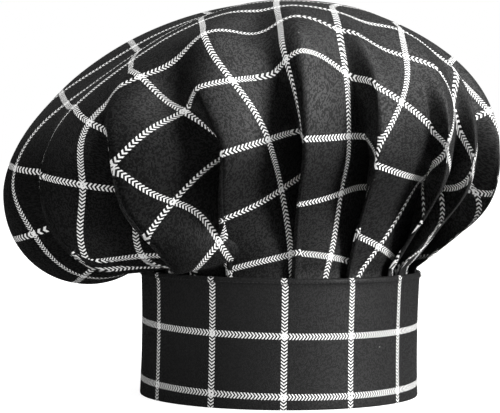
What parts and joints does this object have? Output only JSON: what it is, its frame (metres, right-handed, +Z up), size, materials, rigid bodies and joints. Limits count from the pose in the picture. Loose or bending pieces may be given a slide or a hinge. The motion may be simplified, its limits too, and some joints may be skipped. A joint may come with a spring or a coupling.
{
  "type": "chef hat",
  "caption": "Soft round crown pleated into an upright stiff band and flopping to one side, in black cloth with a white check.",
  "frame": {"origin": "middle of the hat's footprint box, on the surface that the band's lower rim stands on", "axes": "+Z up, the front of the hat towards -Y, the crown flopping towards -X"},
  "size_m": [0.3374, 0.3006, 0.27],
  "materials": {
    "band_cloth": "black twill with a white herringbone check, doubled and stiff",
    "crown_cloth": "black twill with a white herringbone check, soft"
  },
  "bodies": {
    "root": {"band": "band_cloth", "crown": "crown_cloth"}
  },
  "joints": []
}
